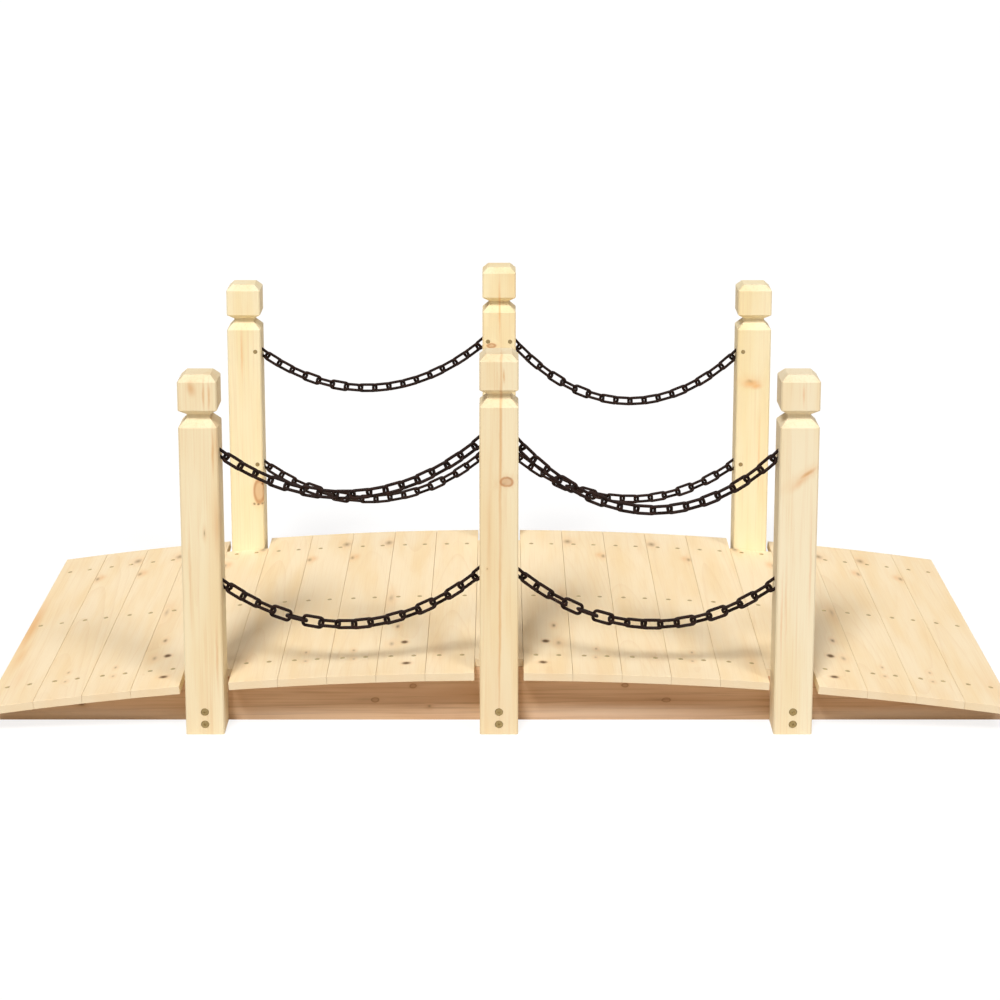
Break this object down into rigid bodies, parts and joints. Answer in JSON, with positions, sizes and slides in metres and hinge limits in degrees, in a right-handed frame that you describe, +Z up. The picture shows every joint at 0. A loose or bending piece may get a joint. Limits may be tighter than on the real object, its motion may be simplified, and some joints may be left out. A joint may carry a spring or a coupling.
{
  "type": "wooden garden bridge",
  "caption": "Low arched timber footbridge: curved stringers carry a deck of cross boards, with capped square posts along both edges and hanging chains as handrails.",
  "frame": {"origin": "centre of the footprint, on the ground under the middle of the deck", "axes": "+X along the walkway, +Y across it to the rear posts, +Z up"},
  "size_m": [1.503, 0.67, 0.57],
  "materials": {
    "spruce_stringer": "planed, untreated",
    "spruce_board": "planed, untreated",
    "spruce_post": "planed, untreated",
    "chain_steel": "dark coat, satin",
    "nail_steel": "plain, dull"
  },
  "bodies": {
    "root": {"front_stringer": "spruce_stringer", "middle_stringer": "spruce_stringer", "rear_stringer": "spruce_stringer", "deck_board_01": "spruce_board", "deck_board_02": "spruce_board", "deck_board_03": "spruce_board", "deck_board_04": "spruce_board", "deck_board_05": "spruce_board", "deck_board_06": "spruce_board", "deck_board_07": "spruce_board", "deck_board_08": "spruce_board", "deck_board_09": "spruce_board", "deck_board_10": "spruce_board", "deck_board_11": "spruce_board", "deck_board_12": "spruce_board", "deck_board_13": "spruce_board", "deck_board_14": "spruce_board", "deck_board_15": "spruce_board", "deck_board_16": "spruce_board", "deck_board_17": "spruce_board", "deck_board_18": "spruce_board", "deck_board_19": "spruce_board", "deck_board_20": "spruce_board", "deck_board_21": "spruce_board", "front_left_post": "spruce_post", "front_centre_post": "spruce_post", "front_right_post": "spruce_post", "rear_left_post": "spruce_post", "rear_centre_post": "spruce_post", "rear_right_post": "spruce_post", "front_left_lower_chain": "chain_steel", "front_left_upper_chain": "chain_steel", "front_right_lower_chain": "chain_steel", "front_right_upper_chain": "chain_steel", "rear_left_lower_chain": "chain_steel", "rear_left_upper_chain": "chain_steel", "rear_right_lower_chain": "chain_steel", "rear_right_upper_chain": "chain_steel", "chain_nails": "nail_steel"}
  },
  "joints": []
}
